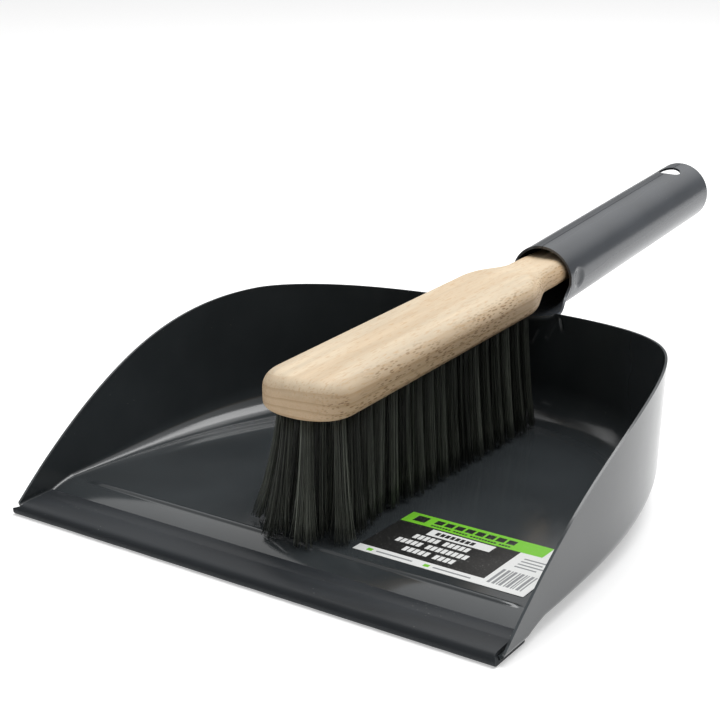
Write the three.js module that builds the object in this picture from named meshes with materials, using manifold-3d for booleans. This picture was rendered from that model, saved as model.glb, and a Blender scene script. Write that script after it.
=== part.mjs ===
// Dustpan and hand brush set, in millimetres. +Z is up, the lip faces -Y and the handle points to +Y.
// While it is built, y = 0 is the front of the lip and z = 0 the ground. The last lines move it so
// that the origin is the bottom centre of the whole object.
import * as THREE from 'three';
import { mergeVertices } from 'three/addons/utils/BufferGeometryUtils.js';
import Module from 'manifold-3d';

const wasm = await Module();
wasm.setup();

// ---------- driving sizes ----------

const SHEET = 1.0;            // gauge of the pressed steel tray
const HALF_WIDTH = 113;       // tray, centre to outer face at the floor
const SIDE_END = 65;          // y where the straight sides turn into the round back
const BACK_DEPTH = 156.8;     // from there to the back face
const BACK_SQUARENESS = 2.45; // exponent of the back's superellipse, 2 would be an ellipse
const WALL_DRAFT = 0.03;      // outward lean of the wall per mm of height
const FILLET_FRONT = 2.5;     // outer radius between floor and wall at the lip, growing to the back
const FILLET_BACK = 18;
const FILLET_GROWTH = 160;    // over this length
const FRONT_Y = 3;            // front edge of the sheet, inside the rubber lip
const FLOOR_RISE = 4.8;       // the floor stands this high at the bead and falls evenly to the back
const REST_Y = 190;           // from here back it lies on the ground
const RAMP_FOOT = 20;         // the ramp runs down from the bead to here, ever steeper
const RAMP_SLOPE = 0.08;      // its slope at the bead, and how fast that grows per mm
const RAMP_CURVE = 0.021;
const BEAD_Y = 33;            // stiffening bead across the floor, at the top of the ramp
const BEAD_HALF = 1.5;
const BEAD_RISE = 0.7;
const BEAD_END = 102;         // half length of the bead

const RIM_FRONT = 4.1;        // rim height at the front tips, at its peak and at the centre of the back
const RIM_PEAK = 62.4;
const RIM_BACK = 52;
const RIM_PEAK_Y = 152;

const TUBE_R = 16;            // handle tube, outer radius
const TUBE_WALL = 1.2;
const TUBE_LENGTH = 167;
const TUBE_TILT = 4.5;        // degrees, rising to the back
const MOUTH_Y = 242;          // centre of the tube's mouth
const MOUTH_Z = 62;
const SEAM_GAP = 0.3;
const HOLE_R = 6.2;           // hanging hole
const HOLE_S = 150;           // its distance from the mouth
const DIMPLE_S = 8;           // pressed grips on both sides of the mouth
const DIMPLE_R = 5;
const DIMPLE_DEPTH = 1.3;
const TONGUE_HALF = 18.5;     // half width where the tongue meets the back wall
const TONGUE_SAG = 4;         // how much its middle lies lower there than its edges
const TONGUE_BEND = 1.5;      // radius of its bend down the wall
const TONGUE_LOW = 24;        // height of the tongue's lower end
const FIT_GAP = 0.3;          // left between pieces that touch

const LIP_DEPTH = 21;         // rubber lip, front to back
const LIP_HALF = 110;

const BLOCK_HALF = 20;        // brush block, half width of the head
const BLOCK_THICK = 15;
const BLOCK_NOSE_Y = 36.5;
const BLOCK_LENGTH = 271;
const BLOCK_NOSE_Z = 53.2;    // underside at the nose
const BLOCK_TILT = 1.66;      // degrees, rising to the back
const NECK_HALF = 12.2;
const HANDLE_THICK = 12.6;

const RANKS = 18;             // cross rows of tufts, and tufts in each but the first
const TUFTS = 4;
const FIRST_RANK = 6;         // from the nose to the first and last rank
const LAST_RANK = 162;
const TUFT_PITCH = 8.8;
const ROOT_R = 2.35;
const HOLE_DEPTH = 7;
const TIP_R = [4.65, 4.1];    // half width and half depth of a tuft's tip before it fans out
const TIP_GAP = 0.6;          // left between the tips and the floor

const LABEL_SIZE = [73, 44];
const LABEL_CORNER = [26.6, 40.4];
const LABEL_THICK = 0.2;

// ---------- mesh helpers ----------

const radians = THREE.MathUtils.degToRad;
const lerp = THREE.MathUtils.lerp;
const smooth = (t) => THREE.MathUtils.smoothstep(t, 0, 1);
const point = (x, y, z) => new THREE.Vector3(x, y, z);

// Equal steps from a to b, both ends included.
function steps(a, b, count) {
  return Array.from({ length: count + 1 }, (_, i) => lerp(a, b, i / count));
}

// A closed geometry from points and triangles. Equal points are joined, collapsed triangles are
// dropped, and the faces are turned outward if the volume comes out negative.
function closedGeometry(points, triangles) {
  const seen = new Map();
  const positions = [];
  const index = points.map((p) => {
    const key = [p.x, p.y, p.z].map((v) => Math.round(v * 1e4)).join();
    if (!seen.has(key)) {
      seen.set(key, positions.length / 3);
      positions.push(p.x, p.y, p.z);
    }
    return seen.get(key);
  });
  const kept = triangles
    .map((t) => t.map((i) => index[i]))
    .filter(([a, b, c]) => a !== b && b !== c && c !== a);
  const corner = (i) => point(positions[3 * i], positions[3 * i + 1], positions[3 * i + 2]);
  const volume = kept.reduce((sum, [a, b, c]) => sum + corner(a).dot(corner(b).cross(corner(c))), 0);
  const faces = volume < 0 ? kept.map(([a, b, c]) => [a, c, b]) : kept;
  const geometry = new THREE.BufferGeometry();
  geometry.setAttribute('position', new THREE.Float32BufferAttribute(positions, 3));
  geometry.setIndex(faces.flat());
  return geometry;
}

// Two triangles for each cell of a rows x cols grid whose points start at offset.
function gridTriangles(rows, cols, offset, flip = false) {
  const triangles = [];
  for (let i = 0; i + 1 < rows; i += 1) {
    for (let j = 0; j + 1 < cols; j += 1) {
      const a = offset + i * cols + j;
      const [b, c, d] = [a + 1, a + cols + 1, a + cols];
      triangles.push(flip ? [a, c, b] : [a, b, c], flip ? [a, d, c] : [a, c, d]);
    }
  }
  return triangles;
}

// The solid between two grids of points. With openEnd the last row is left for its own points
// to close, as where a left and a right half meet.
function shellBetween(upper, lower, openEnd = false) {
  const rows = upper.length;
  const cols = upper[0].length;
  const size = rows * cols;
  const triangles = [
    ...gridTriangles(rows, cols, 0),
    ...gridTriangles(rows, cols, size, true),
  ];
  const rim = [];
  for (let i = rows - 1; i > 0; i -= 1) rim.push(i * cols);
  for (let j = 0; j < cols - 1; j += 1) rim.push(j);
  for (let i = 0; i < rows; i += 1) rim.push(i * cols + cols - 1);
  if (!openEnd) {
    for (let j = cols - 2; j >= 0; j -= 1) rim.push((rows - 1) * cols + j);
  }
  for (let k = 0; k + 1 < rim.length; k += 1) {
    const [a, b] = [rim[k], rim[k + 1]];
    triangles.push([a, a + size, b + size], [a, b + size, b]);
  }
  return closedGeometry([...upper.flat(), ...lower.flat()], triangles);
}

// A sheet of even thickness about a grid of mid-surface points.
function thickSheet(grid, thickness) {
  const offset = (side) => grid.map((row, i) => row.map((p, j) => {
    const before = grid[Math.max(i - 1, 0)][j];
    const after = grid[Math.min(i + 1, grid.length - 1)][j];
    const left = row[Math.max(j - 1, 0)];
    const right = row[Math.min(j + 1, row.length - 1)];
    const normal = after.clone().sub(before).cross(right.clone().sub(left)).normalize();
    return p.clone().addScaledVector(normal, (side * thickness) / 2);
  }));
  return shellBetween(offset(1), offset(-1));
}

// Rings of points joined one to the next, with a flat cap on the first and last ring.
function ringSolid(rings) {
  const count = rings[0].length;
  const closed = rings.map((ring) => [...ring, ring[0]]);
  const triangles = gridTriangles(rings.length, count + 1, 0);
  const last = (rings.length - 1) * (count + 1);
  for (let j = 1; j + 1 < count; j += 1) {
    triangles.push([0, j + 1, j], [last, last + j, last + j + 1]);
  }
  return closedGeometry(closed.flat(), triangles);
}

function toManifold(geometry) {
  const merged = mergeVertices(geometry, 1e-4);
  return new wasm.Manifold(new wasm.Mesh({
    numProp: 3,
    vertProperties: new Float32Array(merged.getAttribute('position').array),
    triVerts: new Uint32Array(merged.index.array),
  }));
}

function fromManifold(solid) {
  const mesh = solid.getMesh();
  const geometry = new THREE.BufferGeometry();
  geometry.setAttribute('position', new THREE.Float32BufferAttribute(mesh.vertProperties, 3));
  geometry.setIndex(Array.from(mesh.triVerts));
  return geometry;
}

// A cylinder between two points, for cutting.
function cutter(from, to, radius, sides) {
  const axis = to.clone().sub(from);
  const turn = new THREE.Quaternion().setFromUnitVectors(point(0, 1, 0), axis.clone().normalize());
  const geometry = new THREE.CylinderGeometry(radius, radius, axis.length(), sides);
  geometry.deleteAttribute('normal');
  geometry.deleteAttribute('uv');
  geometry.applyQuaternion(turn).translate(...from.clone().add(to).multiplyScalar(0.5).toArray());
  return toManifold(geometry);
}

// ---------- tray ----------

// Point and outward normal of the tray's outer outline at the floor, right half: t = 0 is the end
// of the straight side and t = 90 degrees the centre of the back.
function backOutline(t) {
  const power = 2 / BACK_SQUARENESS;
  const x = HALF_WIDTH * Math.max(Math.cos(t), 0) ** power;
  const y = BACK_DEPTH * Math.sin(t) ** power;
  const slope = BACK_SQUARENESS - 1;
  const normal = new THREE.Vector2(
    (x / HALF_WIDTH) ** slope / HALF_WIDTH,
    (y / BACK_DEPTH) ** slope / BACK_DEPTH,
  ).normalize();
  return { x, y: SIDE_END + y, normal };
}

// Height of the rim: steep at the front tips, highest two thirds back, lower at the handle.
function rimHeight(y) {
  if (y < RIM_PEAK_Y) {
    const t = (RIM_PEAK_Y - y) / (RIM_PEAK_Y - FRONT_Y);
    return RIM_PEAK - (RIM_PEAK - RIM_FRONT) * t ** 2.15;
  }
  const backY = SIDE_END + BACK_DEPTH;
  const t = (y - RIM_PEAK_Y) / (backY - RIM_PEAK_Y);
  return RIM_PEAK - (RIM_PEAK - RIM_BACK) * Math.min(t, 1) ** 1.45;
}

// The rim dips behind the brush, flush with the hollow of the tongue.
function rimDip(x) {
  return TONGUE_SAG * Math.max(0, 1 - (x / TONGUE_HALF) ** 2);
}

// How far the underside of the floor stands off the ground: slope, ramp and bead.
function floorLift(x, y) {
  const fall = THREE.MathUtils.clamp((y - BEAD_Y) / (REST_Y - BEAD_Y), 0, 1);
  const down = BEAD_Y - Math.max(RAMP_FOOT, Math.min(y, BEAD_Y));
  const ramp = RAMP_SLOPE * down + (RAMP_CURVE / 2) * down ** 2;
  const across = Math.max(0, 1 - Math.abs(y - BEAD_Y) / BEAD_HALF);
  const along = THREE.MathUtils.clamp((BEAD_END - Math.abs(x)) / 3, 0, 1);
  return FLOOR_RISE * (1 - fall) - ramp + BEAD_RISE * smooth(across) * along;
}

// One row of the tray from the centre line of the floor to the rim, on one face of the sheet.
// inset is 0 for the outer face and the gauge for the inner one.
function trayRow(station, inset) {
  const { x, y, normal, anchorY } = station;
  const rim = station.rim;
  const lift = floorLift(HALF_WIDTH, y);
  const radius = lerp(FILLET_FRONT, FILLET_BACK, smooth((y - LIP_DEPTH) / FILLET_GROWTH));
  const turn = Math.acos(THREE.MathUtils.clamp(1 - (rim - lift) / radius, 0, 1));
  const row = [];
  const floorX = x - normal.x * radius;
  const floorY = y - normal.y * radius;
  for (const share of [0, 0.5, 0.96, 0.985]) {
    const px = floorX * share;
    const py = lerp(anchorY, floorY, share);
    row.push(point(px, py, floorLift(px, py) + inset));
  }
  for (const angle of steps(0, turn, 6)) {
    const back = radius - (radius - inset) * Math.sin(angle);
    const z = lift + radius - (radius - inset) * Math.cos(angle);
    row.push(point(x - normal.x * back, y - normal.y * back, z));
  }
  const wall = Math.max(0, rim - lift - radius);
  for (const share of [0.5, 1]) {
    const out = WALL_DRAFT * wall * share - inset;
    const height = lift + radius + wall * share;
    if (wall > 0) row.push(point(x + normal.x * out, y + normal.y * out, height));
    else row.push(row[row.length - 1].clone());
  }
  return row;
}

function trayStations() {
  const side = new THREE.Vector2(1, 0);
  const beadYs = steps(BEAD_Y - BEAD_HALF, BEAD_Y + BEAD_HALF, 4);
  const rampYs = [FRONT_Y, 4.5, 7, 10, 14, 17, RAMP_FOOT, 22, 24, 26, 28.5];
  const frontYs = [...rampYs, ...beadYs, 40, 48, 57];
  const stations = frontYs.map((y) => ({ x: HALF_WIDTH, y, normal: side, anchorY: y }));
  for (const t of steps(0, Math.PI / 2, 30)) {
    stations.push({ ...backOutline(t), anchorY: SIDE_END + 50 * Math.sin(t) });
  }
  return stations.map((s) => ({ ...s, rim: rimHeight(s.y) - rimDip(s.x) }));
}

function panBody() {
  const face = (inset) => trayStations().map((station) => {
    const right = trayRow(station, inset);
    const left = right.slice(1).reverse().map((p) => point(-p.x, p.y, p.z));
    return [...left, ...right];
  });
  return shellBetween(face(SHEET), face(0), true);
}

// ---------- rubber lip ----------

// A U-shaped strip gripping the front edge of the sheet, drawn in its side view (y, z).
function rubberLip() {
  const sheetLow = floorLift(0, RAMP_FOOT);
  const slotLow = sheetLow - FIT_GAP;
  const slotHigh = sheetLow + SHEET + FIT_GAP;
  const slotFront = FRONT_Y - FIT_GAP;
  const profile = new THREE.Shape();
  profile.moveTo(1.2, 0);
  profile.lineTo(LIP_DEPTH, 0);
  profile.lineTo(LIP_DEPTH, slotLow);
  profile.lineTo(slotFront, slotLow);
  profile.lineTo(slotFront, slotHigh);
  profile.lineTo(LIP_DEPTH - 1, slotHigh);
  profile.lineTo(LIP_DEPTH - 1, slotHigh + 1.5);
  profile.lineTo(3.5, slotHigh + 1.2);
  profile.bezierCurveTo(1.4, slotHigh + 1.1, 0, 3, 0, 1.4);
  profile.bezierCurveTo(0, 0.5, 0.5, 0, 1.2, 0);
  const geometry = new THREE.ExtrudeGeometry(profile, {
    depth: 2 * LIP_HALF,
    bevelEnabled: false,
    curveSegments: 5,
  });
  geometry.applyMatrix4(new THREE.Matrix4().makeBasis(
    point(0, 1, 0),
    point(0, 0, 1),
    point(1, 0, 0),
  ));
  return geometry.translate(-LIP_HALF, 0, 0);
}

// ---------- handle tube ----------

const tilt = radians(TUBE_TILT);
const tubeAxis = point(0, Math.cos(tilt), Math.sin(tilt));
const tubeUp = point(0, -Math.sin(tilt), Math.cos(tilt));

// Point at distance s behind the mouth, at angle phi from the top and at a radius.
function tubePoint(s, phi, radius) {
  return point(radius * Math.sin(phi), MOUTH_Y, MOUTH_Z)
    .addScaledVector(tubeAxis, s)
    .addScaledVector(tubeUp, radius * Math.cos(phi));
}

// Depth of the pressed grip dimples at a place on the tube.
function dimpleDepth(s, phi) {
  const around = Math.min(phi, 2 * Math.PI - phi) - Math.PI / 2;
  const reach = Math.hypot(s - DIMPLE_S, around * TUBE_R) / DIMPLE_R;
  return reach < 1 ? DIMPLE_DEPTH * (1 - reach ** 3) : 0;
}

// The rolled tube, open along its butt seam on top.
function rolledTube() {
  const seam = SEAM_GAP / 2 / TUBE_R;
  const quarter = steps(radians(72), radians(108), 8);
  const upper = steps(radians(12), radians(60), 4);
  const lower = steps(radians(120), Math.PI, 5);
  const half = [seam, ...upper, ...quarter, ...lower];
  const around = [...half, ...half.slice(0, -1).reverse().map((phi) => 2 * Math.PI - phi)];
  const along = [0, ...steps(DIMPLE_S - DIMPLE_R, DIMPLE_S + DIMPLE_R, 8), 30, 60, 90, 120, TUBE_LENGTH];
  const face = (radius) => along.map((s) => around.map((phi) => (
    tubePoint(s, phi, radius - dimpleDepth(s, phi))
  )));
  return toManifold(shellBetween(face(TUBE_R), face(TUBE_R - TUBE_WALL)));
}

// Mid-surface of the trough and tongue that carry the tube forward and down the back wall.
// w runs across from -1 to 1.
function tonguePoint(stage, w) {
  const mid = TUBE_R - TUBE_WALL / 2;
  const wallY = (x, z) => {
    const t = Math.min(Math.abs(x) / HALF_WIDTH, 1) ** BACK_SQUARENESS;
    const lean = WALL_DRAFT * (z - FILLET_BACK);
    return SIDE_END + BACK_DEPTH * (1 - t) ** (1 / BACK_SQUARENESS) + lean;
  };
  const clear = FIT_GAP + TUBE_WALL / 2;
  const frontX = TONGUE_HALF * w;
  const frontZ = RIM_BACK - TUBE_WALL / 2 - rimDip(frontX);
  if (stage <= 1) {
    const edge = lerp(radians(74), radians(66), Math.max(0, stage));
    const arc = tubePoint(4, Math.PI + w * edge, mid);
    const share = smooth(Math.max(0, stage));
    const frontY = wallY(frontX, frontZ) + clear + TONGUE_BEND;
    return point(
      lerp(-arc.x, frontX, share),
      stage < 0 ? arc.y : lerp(arc.y - 4, frontY, Math.max(0, stage)),
      lerp(arc.z, frontZ, share),
    );
  }
  if (stage <= 2) {
    const turn = (stage - 1) * (Math.PI / 2);
    const low = frontZ - TONGUE_BEND;
    const back = clear + TONGUE_BEND * (1 - Math.sin(turn));
    return point(frontX, wallY(frontX, low) + back, low + TONGUE_BEND * Math.cos(turn));
  }
  const share = stage - 2;
  const narrow = lerp(1, 0.8, share);
  const end = TONGUE_LOW + 7 * w ** 4;
  const z = lerp(frontZ - TONGUE_BEND, end, share);
  return point(frontX * narrow, wallY(frontX * narrow, z) + clear, z);
}

function tongue() {
  const stages = [-1, 0, 0.15, 0.3, 0.45, 0.6, 0.8, 1, 1.33, 1.67, 2, 2.35, 2.7, 3];
  const grid = stages.map((stage) => steps(-1, 1, 14).map((w) => tonguePoint(stage, w)));
  return toManifold(thickSheet(grid, TUBE_WALL - 0.2));
}

function handleTube() {
  const hole = cutter(tubePoint(HOLE_S, 0, 8), tubePoint(HOLE_S, 0, TUBE_R + 4), HOLE_R, 28);
  const notch = cutter(tubePoint(-0.4, 0, 10), tubePoint(-0.4, 0, TUBE_R + 4), 1.6, 8);
  return fromManifold(rolledTube().subtract(hole).subtract(notch).add(tongue()));
}

// ---------- price label ----------

// A plain sticker lying square behind the bead.
function priceLabel() {
  const [width, depth] = LABEL_SIZE;
  const [x, y] = LABEL_CORNER;
  const corner = 1.5;
  const outline = new THREE.Shape();
  outline.moveTo(corner, 0);
  outline.lineTo(width - corner, 0);
  outline.absarc(width - corner, corner, corner, -Math.PI / 2, 0);
  outline.lineTo(width, depth - corner);
  outline.absarc(width - corner, depth - corner, corner, 0, Math.PI / 2);
  outline.lineTo(corner, depth);
  outline.absarc(corner, depth - corner, corner, Math.PI / 2, Math.PI);
  outline.lineTo(0, corner);
  outline.absarc(corner, corner, corner, Math.PI, 1.5 * Math.PI);
  const geometry = new THREE.ExtrudeGeometry(outline, {
    depth: LABEL_THICK,
    bevelEnabled: false,
    curveSegments: 3,
  });
  const slope = Math.atan(FLOOR_RISE / (REST_Y - BEAD_Y));
  return geometry.rotateX(-slope).translate(x, y, floorLift(0, y) + SHEET + 0.1);
}

// ---------- brush block ----------

// Right half of the block's plan: round nose, straight head, S-shaped shoulder, slim handle.
function blockOutline() {
  const shoulder = [157, 190];
  const noseLength = 17;
  const endLength = 12;
  const outline = steps(0, Math.PI / 2, 10).map((t) => ({
    x: BLOCK_HALF * Math.sin(t) ** (2 / 2.3),
    y: noseLength * (1 - Math.cos(t) ** (2 / 2.3)),
  }));
  outline.push({ x: BLOCK_HALF, y: 90 });
  for (const y of steps(...shoulder, 9)) {
    const share = smooth((y - shoulder[0]) / (shoulder[1] - shoulder[0]));
    outline.push({ x: lerp(BLOCK_HALF, NECK_HALF, share), y });
  }
  outline.push({ x: NECK_HALF - 0.1, y: 220 });
  for (const t of steps(0, Math.PI / 2, 7)) {
    outline.push({
      x: (NECK_HALF - 0.9) * Math.cos(t) ** (2 / 2.2),
      y: BLOCK_LENGTH - endLength * (1 - Math.sin(t) ** (2 / 2.2)),
    });
  }
  return outline;
}

// The block lying flat, nose at y = 0 and underside at z = 0.
function flatBlock() {
  const outline = blockOutline();
  const last = outline.length - 1;
  const rings = outline.map((p, i) => {
    const a = outline[Math.max(i - 1, 0)];
    const b = outline[Math.min(i + 1, last)];
    const normal = new THREE.Vector2(b.y - a.y, a.x - b.x).normalize();
    if (i === 0) normal.set(0, -1);
    if (i === last) normal.set(0, 1);
    const handle = smooth((p.y - 167) / 24);
    const slim = handle * (BLOCK_THICK - HANDLE_THICK);
    const low = { z: 0.2 * slim, r: lerp(2.6, 6, handle) };
    const high = { z: BLOCK_THICK - 0.8 * slim, r: lerp(7.5, 6, handle) };
    const profile = [
      ...steps(0, Math.PI / 2, 3).map((t) => ({
        inset: low.r * (1 - Math.sin(t)),
        z: low.z + low.r * (1 - Math.cos(t)),
      })),
      ...steps(0, Math.PI / 2, 4).map((t) => ({
        inset: high.r * (1 - Math.cos(t)),
        z: high.z - high.r * (1 - Math.sin(t)),
      })),
    ];
    const right = profile.map(({ inset, z }) => (
      point(Math.max(0, p.x - normal.x * inset), p.y - normal.y * inset, z)
    ));
    return [...right, ...right.slice().reverse().map((q) => point(-q.x, q.y, q.z))];
  });
  return ringSolid(rings);
}

// Turns something built on the flat block to where the brush lies in the pan.
function placeOnBrush(geometry) {
  return geometry.rotateX(radians(BLOCK_TILT)).translate(0, BLOCK_NOSE_Y, BLOCK_NOSE_Z);
}

// Centres of the tufts, along and across the flat block. The rank in the round of the nose has
// room for the inner two only.
const rankYs = steps(FIRST_RANK, LAST_RANK, RANKS - 1);
const allXs = steps(-(TUFTS - 1) / 2, (TUFTS - 1) / 2, TUFTS - 1).map((i) => i * TUFT_PITCH);
const tuftXs = (rankY) => (rankY === FIRST_RANK ? allXs.slice(1, -1) : allXs);

function brushBlock() {
  let block = toManifold(flatBlock());
  for (const y of rankYs) {
    for (const x of tuftXs(y)) {
      const hole = cutter(point(x, y, -3), point(x, y, HOLE_DEPTH), ROOT_R + 0.15, 10);
      block = block.subtract(hole);
    }
  }
  return placeOnBrush(fromManifold(block));
}

// ---------- bristles ----------

// One tuft: round in its drilled hole, spreading to an oval at the tips, which stand just clear of
// the floor. They splay forward at the nose and back at the handle, and a little to the right.
function tuft(x, rankY) {
  const root = point(x, rankY, HOLE_DEPTH - 0.4);
  const mouth = point(x, rankY, 0);
  for (const p of [root, mouth]) {
    p.applyAxisAngle(point(1, 0, 0), radians(BLOCK_TILT));
    p.add(point(0, BLOCK_NOSE_Y, BLOCK_NOSE_Z));
  }
  const along = (rankY - FIRST_RANK) / (LAST_RANK - FIRST_RANK);
  const fan = lerp(1.4, 1.12, smooth(along * 4));
  const tip = point(x * fan + lerp(2.9, 1.6, along), mouth.y + lerp(-10.5, 3.5, along), 0);
  const under = steps(-TIP_R[1], TIP_R[1], 12).map((reach) => floorLift(tip.x, tip.y + reach));
  tip.z = Math.max(...under) + SHEET + TIP_GAP;
  const levels = [
    { at: root, rx: ROOT_R, ry: ROOT_R },
    { at: mouth, rx: ROOT_R, ry: ROOT_R },
    { at: mouth.clone().lerp(tip, 0.45), rx: 3.4, ry: 3.1 },
    { at: tip, rx: TIP_R[0] * fan, ry: TIP_R[1] },
  ];
  return toManifold(ringSolid(levels.map(({ at, rx, ry }) => (
    steps(0, 2 * Math.PI, 10).slice(0, -1).map((a) => (
      point(at.x + rx * Math.cos(a), at.y + ry * Math.sin(a), at.z)
    ))
  ))));
}

// A rank is the tufts abreast, whose filaments run together towards the tips.
function bristleRank(rankY) {
  const tufts = tuftXs(rankY).map((x) => tuft(x, rankY));
  return fromManifold(tufts.reduce((all, next) => all.add(next)));
}

// ---------- assembly ----------

const paint = { color: 0x3b3f43, roughness: 0.3, metalness: 0.2 };
const rubber = { color: 0x2c2e30, roughness: 0.75, metalness: 0 };
const beech = { color: 0xdcc39a, roughness: 0.6, metalness: 0 };
const bristle = { color: 0x1d1f1f, roughness: 0.6, metalness: 0 };
const paper = { color: 0x2a2a28, roughness: 0.45, metalness: 0 };

const overallLength = MOUTH_Y + TUBE_LENGTH * Math.cos(tilt) + TUBE_R * Math.sin(tilt);
const set = new THREE.Group();
set.name = 'dustpan_and_brush';

function add(name, geometry, finish) {
  const solid = geometry.translate(0, -overallLength / 2, 0);
  solid.computeVertexNormals();
  const mesh = new THREE.Mesh(solid, new THREE.MeshStandardMaterial(finish));
  mesh.name = name;
  set.add(mesh);
}

add('pan_body', panBody(), paint);
add('rubber_lip', rubberLip(), rubber);
add('handle_tube', handleTube(), paint);
add('price_label', priceLabel(), paper);
add('brush_block', brushBlock(), beech);
rankYs.forEach((y, i) => {
  add(`bristle_rank_${String(i + 1).padStart(2, '0')}`, bristleRank(y), bristle);
});

export default set;
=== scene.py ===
"""Dustpan and hand brush: the looks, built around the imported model.

Pieces are worked out in millimetres with y = 0 at the front of the lip and z = 0 at the ground,
as the CAD model is, and are scaled to metres and moved to its frame when their mesh is made.
"""
import math
import random

import bmesh
import bpy
import numpy as np
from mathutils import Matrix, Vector


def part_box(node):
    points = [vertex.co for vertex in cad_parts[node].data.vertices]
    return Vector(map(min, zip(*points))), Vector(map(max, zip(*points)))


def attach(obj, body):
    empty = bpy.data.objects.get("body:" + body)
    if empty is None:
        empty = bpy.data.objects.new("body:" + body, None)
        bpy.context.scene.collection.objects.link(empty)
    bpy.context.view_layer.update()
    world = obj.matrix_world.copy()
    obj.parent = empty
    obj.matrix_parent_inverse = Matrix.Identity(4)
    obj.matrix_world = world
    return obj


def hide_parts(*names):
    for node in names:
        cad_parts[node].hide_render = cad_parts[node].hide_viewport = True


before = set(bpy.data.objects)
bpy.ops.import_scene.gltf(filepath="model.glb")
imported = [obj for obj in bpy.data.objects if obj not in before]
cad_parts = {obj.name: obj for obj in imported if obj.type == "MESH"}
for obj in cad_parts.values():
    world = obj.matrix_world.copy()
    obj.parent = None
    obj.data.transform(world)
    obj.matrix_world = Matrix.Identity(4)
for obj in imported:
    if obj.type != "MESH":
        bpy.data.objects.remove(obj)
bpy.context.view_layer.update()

MM = 0.001
LIP_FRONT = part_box("rubber_lip")[0].y

# ---------- driving sizes in millimetres; those that the CAD model has are the same there ----------

SHEET = 1.0
HALF_WIDTH = 113
SIDE_END = 65
BACK_DEPTH = 156.8
BACK_SQUARENESS = 2.45
WALL_DRAFT = 0.03
FILLET_FRONT = 2.5
FILLET_BACK = 18
FILLET_GROWTH = 160
FRONT_Y = 3
FLOOR_RISE = 4.8
REST_Y = 190
RAMP_FOOT = 20
RAMP_SLOPE = 0.08
RAMP_CURVE = 0.021
BEAD_Y = 33
BEAD_HALF = 1.5
BEAD_RISE = 0.7
BEAD_END = 102
BEAD_TAPER = 3
DRAW_MARK = 0.14      # height of the ripples beside the fillet
ROW_SPREAD = 50       # how far back the rows of the round part start on the centre line
RIM_FRONT = 4.1
RIM_PEAK = 62.4
RIM_BACK = 52
RIM_PEAK_Y = 152
RIM_POWERS = (2.15, 1.45)  # how sharply it falls to the front and to the back
RIM_FLARE = 3.2       # how far the rim turns out over the trough
RIM_CURL = 0.05       # share of the wall's height in which it does so

CREASES = (           # x and z of both ends
    (21.0, 50.5, 22.6, 45.3),
    (18.5, 49.0, 14.2, 40.1),
    (8.8, 42.9, 5.9, 36.9),
)
CREASE_DEPTH = 0.7
CREASE_HALF = 1.5

TUBE_R = 16
TUBE_WALL = 1.2
TUBE_LENGTH = 167
SEAM_HALF = 0.15
TUBE_TILT = math.radians(4.5)
MOUTH_Y = 242
MOUTH_Z = 62
HOLE_R = 6.2
HOLE_S = 150
CUT_DEPTH = 12
DIMPLE_S = 8
DIMPLE_R = 5
DIMPLE_DEPTH = 1.3
TONGUE_HALF = 18.5
TONGUE_SAG = 4
TONGUE_BEND = 1.5
TONGUE_LOW = 24
TONGUE_CORNER = 7     # how much higher its lower corners are
TONGUE_TAPER = 0.8
TROUGH_EDGE = math.radians(100)   # half the turn that the trough covers where it leaves the tube
TROUGH_WAIST = math.radians(70)   # the same once it has narrowed
WAIST_STAGE = 0.45    # share of the trough's length in which it narrows
TONGUE_CLEAR = 0.1

LIP_DEPTH = 21
LIP_HALF = 110
LIP_SPILL = (3.2, 1)  # the sole and nose of the lip reach this much further, left and right

BLOCK_HALF = 20
BLOCK_THICK = 15
BLOCK_NOSE_Y = 36.5
BLOCK_NOSE_Z = 53.2
BLOCK_LENGTH = 271
BLOCK_TILT = math.radians(1.66)
BLOCK_NOSE = 17       # length of the rounded front end
SHOULDER = (157, 190)
NECK_HALF = 12.2
HANDLE_HALF = 11.3
HANDLE_END = 12       # length of the rounded back end
HANDLE_THICK = 12.6
EDGE_LOW = 2.6
EDGE_HIGH = 7.5
HANDLE_EDGE = 6

RANKS = 18
TUFTS = 4
FIRST_RANK = 6
LAST_RANK = 162
TUFT_PITCH = 8.8
ROOT_R = 2.35
TIP_SPREAD = (4.9, 4.1)
TIP_GAP = 0.6
TIP_FAN = (1.12, 1.5)      # how far the tips stand apart, in pitches: back ranks, front ranks
TIP_SPLAY = (0.82, 1.3)    # how wide a tuft's tip is, in spreads: back ranks, front ranks
TIP_ASIDE = (2.9, 1.6)     # how far the tips lean to the right: first rank, last rank
TIP_BACK = (-10.5, 3.5)    # how far they lean back: first rank, last rank
FILAMENTS = 96        # in one tuft
LOCKS = 6             # bunches that its filaments gather into at the tips
FILAMENT_R = 0.17
STEPS = 7
GOLDEN_ANGLE = 2.39996

LABEL_SIZE = (73, 44)
LABEL_CORNER = (26.6, 40.4)
PAPER = 0.15


def smooth(t):
    """Eases from 0 to 1, flat at both ends."""
    t = np.clip(t, 0, 1)
    return t * t * (3 - 2 * t)


def lerp(a, b, t):
    return a + (b - a) * t


# ---------- camera ----------

def make_camera():
    data = bpy.data.cameras.new("camera")
    data.lens = 76.92
    data.sensor_width = 36
    camera = bpy.data.objects.new("camera", data)
    camera.location = (0.32537, -0.60423, 0.25658)
    camera.rotation_euler = (math.radians(71.7), 0, math.radians(33.88))
    bpy.context.collection.objects.link(camera)
    bpy.context.scene.camera = camera


make_camera()

# ---------- material helpers ----------


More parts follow.
